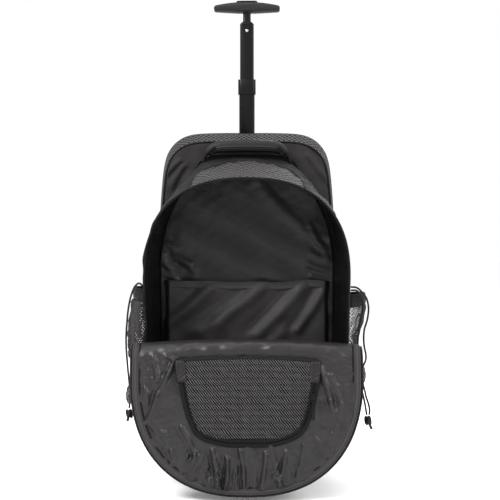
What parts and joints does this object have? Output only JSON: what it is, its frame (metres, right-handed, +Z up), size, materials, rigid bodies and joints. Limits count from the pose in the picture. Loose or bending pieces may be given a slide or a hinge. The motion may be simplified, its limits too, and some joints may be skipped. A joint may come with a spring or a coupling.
{
  "type": "wheeled backpack",
  "caption": "Black wheeled backpack, its front flap unzipped and folded down, with net side pockets, padded straps and a telescopic pole with a T grip.",
  "frame": {"origin": "middle of the bag's width at its base, on the plane of the wheels' and feet's undersides", "axes": "+Z up along the pole, -Y out of the open front, +Y out of the back panel and its straps, +X to the viewer's right when the open front is looked at"},
  "size_m": [0.4059, 0.3491, 0.8379],
  "materials": {
    "nylon": "satin",
    "ripstop": "matt",
    "lining": "satin",
    "webbing": "matt",
    "net": "matt",
    "foam": "matt",
    "plastic": "satin",
    "rubberised": "matt",
    "button": "satin",
    "black_metal": "satin",
    "steel": "polished",
    "tyre": "matt",
    "cord": "matt"
  },
  "bodies": {
    "bag": {"compartment_wall": "nylon", "flap_panel": "nylon", "main_gusset": "ripstop", "main_lower_front": "ripstop", "laptop_gusset_front": "ripstop", "laptop_gusset_rear": "ripstop", "side_pocket_right": "ripstop", "side_pocket_left": "ripstop", "interior_pocket": "lining", "main_rim_tape": "webbing", "laptop_zipper": "webbing", "laptop_piping": "webbing", "main_piping": "webbing", "flap_binding": "webbing", "flap_net_zipper": "webbing", "side_hem_right": "webbing", "side_hem_left": "webbing", "grab_strap_left": "webbing", "grab_strap_right": "webbing", "strap_webbing_left": "webbing", "strap_webbing_right": "webbing", "flap_net": "net", "side_net_right": "net", "side_net_left": "net", "back_panel": "foam", "grab_grip": "foam", "shoulder_strap_left": "foam", "shoulder_strap_right": "foam", "cord_lock_right": "plastic", "cord_lock_left": "plastic", "cord_knot_right": "plastic", "cord_knot_left": "plastic", "pole_bezel": "plastic", "base_tray": "plastic", "foot_left": "plastic", "foot_right": "plastic", "strap_buckle_left": "plastic", "strap_buckle_right": "plastic", "flap_zip_slider": "black_metal", "pole_outer": "black_metal", "axle_left": "steel", "axle_right": "steel", "drawcord_right_outer": "cord", "drawcord_right_inner": "cord", "drawcord_right_tail_outer": "cord", "drawcord_right_tail_inner": "cord", "drawcord_left": "cord", "drawcord_left_tail": "cord"},
    "pole_middle": {"pole_middle": "black_metal", "pole_collar": "plastic"},
    "pole_inner": {"pole_inner": "black_metal", "rivet": "steel", "t_grip": "rubberised"},
    "push_button": {"push_button": "button"},
    "zip_pull": {"flap_zip_pull": "black_metal"},
    "wheel_left": {"tyre_left": "tyre", "hub_left": "plastic"},
    "wheel_right": {"tyre_right": "tyre", "hub_right": "plastic"}
  },
  "joints": [
    {"name": "pole_middle_slide", "type": "slide", "parent": "bag", "child": "pole_middle", "axis": [0, 0, 1], "range_m": [-0.07, 0.15]},
    {"name": "pole_inner_slide", "type": "slide", "parent": "pole_middle", "child": "pole_inner", "axis": [0, 0, 1], "range_m": [-0.098, 0.13]},
    {"name": "push_button_press", "type": "slide", "parent": "pole_inner", "child": "push_button", "axis": [0, 0, 1], "range_m": [-0.003, 0], "stiffness_N_per_m": 500},
    {"name": "zip_pull_swing", "type": "hinge", "parent": "bag", "child": "zip_pull", "pos_m": [0.104, -0.17202, 0.093], "axis": [-1, 0, 0], "range_deg": [0, 150]},
    {"name": "wheel_left_spin", "type": "hinge", "parent": "bag", "child": "wheel_left", "pos_m": [-0.139, 0.1063, 0.032], "axis": [1, 0, 0], "continuous": true},
    {"name": "wheel_right_spin", "type": "hinge", "parent": "bag", "child": "wheel_right", "pos_m": [0.139, 0.1063, 0.032], "axis": [1, 0, 0], "continuous": true}
  ]
}
